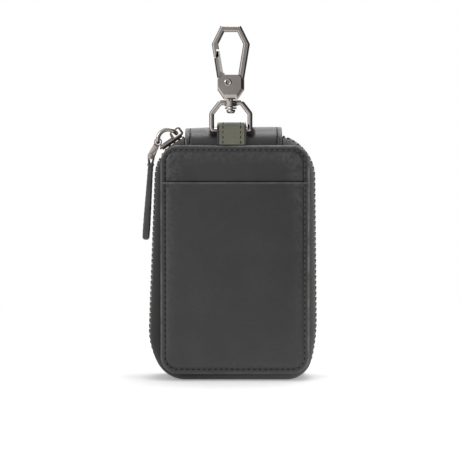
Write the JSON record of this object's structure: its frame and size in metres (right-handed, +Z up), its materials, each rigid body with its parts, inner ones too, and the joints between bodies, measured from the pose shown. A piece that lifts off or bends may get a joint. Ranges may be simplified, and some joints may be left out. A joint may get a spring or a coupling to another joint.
{
  "type": "zip key holder",
  "caption": "Slim upright zip-round leather key holder with a front card pocket, a key-hook plate inside, and a strap-held swivel snap hook on top.",
  "frame": {"origin": "middle of the bounding box's base, where the case stands on the floor", "axes": "+Z up through the snap hook, +X to the right seen from the front, +Y from the card pocket to the back panel"},
  "size_m": [0.077, 0.0282, 0.1551],
  "materials": {
    "dark_leather": "fine-grained dark grey leather, satin",
    "olive_leather": "smooth olive grey leather, matt",
    "lining_cloth": "plain dark lining cloth",
    "woven_tape": "herringbone woven zip tape",
    "zip_metal": "dull dark plated teeth",
    "gunmetal": "polished gunmetal plating",
    "nickel_steel": "bright nickel plating"
  },
  "bodies": {
    "case_back": {"back_panel": "dark_leather", "back_lining": "lining_cloth", "back_zip_tape": "woven_tape", "back_zip_chain": "zip_metal", "back_stop_left": "zip_metal", "back_stop_right": "zip_metal", "key_plate": "nickel_steel", "plate_rivet_left": "nickel_steel", "plate_rivet_right": "nickel_steel", "key_stud_1": "nickel_steel", "key_stud_2": "nickel_steel", "key_stud_3": "nickel_steel", "key_stud_4": "nickel_steel", "top_bridge": "dark_leather", "strap_backing": "dark_leather", "loop_strap": "olive_leather"},
    "front_cover": {"front_panel": "dark_leather", "card_pocket": "dark_leather", "front_lining": "lining_cloth", "front_zip_tape": "woven_tape", "front_zip_chain": "zip_metal", "front_stop_left": "zip_metal", "front_stop_right": "zip_metal"},
    "eye": {"swivel_eye": "gunmetal"},
    "hook": {"hook_body": "gunmetal", "swivel_post": "gunmetal", "swivel_washer": "gunmetal", "gate_pin": "gunmetal", "gate_spring": "nickel_steel"},
    "gate_arm": {"gate": "gunmetal"},
    "slider": {"slider_top": "gunmetal", "slider_inner": "gunmetal"},
    "link": {"pull_link": "gunmetal"},
    "clasp": {"pull_clasp": "gunmetal", "clasp_pin": "gunmetal"},
    "pull": {"leather_pull": "dark_leather"},
    "key_hook_body_1": {"key_hook_1": "nickel_steel", "key_leaf_1": "nickel_steel"},
    "key_hook_body_2": {"key_hook_2": "nickel_steel", "key_leaf_2": "nickel_steel"},
    "key_hook_body_3": {"key_hook_3": "nickel_steel", "key_leaf_3": "nickel_steel"},
    "key_hook_body_4": {"key_hook_4": "nickel_steel", "key_leaf_4": "nickel_steel"}
  },
  "joints": [
    {"name": "cover_hinge", "type": "hinge", "parent": "case_back", "child": "front_cover", "pos_m": [0.00236, -0.01295, 0.1034], "axis": [-1, 0, 0], "range_deg": [0, 110]},
    {"name": "eye_tilt", "type": "hinge", "parent": "case_back", "child": "eye", "pos_m": [0.00056, -0.00861, 0.10948], "axis": [-1, 0, 0], "range_deg": [-115, 51]},
    {"name": "hook_swivel", "type": "hinge", "parent": "eye", "child": "hook", "pos_m": [0.00056, -0.00861, 0.12288], "axis": [0, 0, 1], "continuous": true},
    {"name": "gate_hinge", "type": "hinge", "parent": "hook", "child": "gate_arm", "pos_m": [-0.00069, -0.00861, 0.13039], "axis": [0, 1, 0], "range_deg": [0, 25], "stiffness_Nm_per_rad": 0.02, "springref_deg": -11.46},
    {"name": "slider_arc", "type": "hinge", "parent": "case_back", "child": "slider", "pos_m": [-0.01364, 0.00055, 0.0883], "axis": [0, -1, 0], "range_deg": [0, 50]},
    {"name": "link_hinge", "type": "hinge", "parent": "slider", "child": "link", "pos_m": [-0.02346, 0.00055, 0.10806], "axis": [0, 1, 0], "range_deg": [0, 60]},
    {"name": "clasp_hinge", "type": "hinge", "parent": "link", "child": "clasp", "pos_m": [-0.03147, 0.00055, 0.10419], "axis": [0, -1, 0], "range_deg": [-50, 0]},
    {"name": "pull_hinge", "type": "hinge", "parent": "clasp", "child": "pull", "pos_m": [-0.03447, 0.00055, 0.09809], "axis": [0, 1, 0], "range_deg": [0, 80]},
    {"name": "key_hook_hinge_1", "type": "hinge", "parent": "case_back", "child": "key_hook_body_1", "pos_m": [-0.01639, 0.00755, 0.0869], "axis": [0, 1, 0], "range_deg": [-15, 15]},
    {"name": "key_hook_hinge_2", "type": "hinge", "parent": "case_back", "child": "key_hook_body_2", "pos_m": [-0.00389, 0.00755, 0.0869], "axis": [0, 1, 0], "range_deg": [-15, 15]},
    {"name": "key_hook_hinge_3", "type": "hinge", "parent": "case_back", "child": "key_hook_body_3", "pos_m": [0.00861, 0.00755, 0.0869], "axis": [0, 1, 0], "range_deg": [-15, 15]},
    {"name": "key_hook_hinge_4", "type": "hinge", "parent": "case_back", "child": "key_hook_body_4", "pos_m": [0.02111, 0.00755, 0.0869], "axis": [0, 1, 0], "range_deg": [-15, 15]}
  ],
  "couplings": [
    {"joint": "clasp_hinge", "follows": "slider_arc", "ratio": -1}
  ]
}
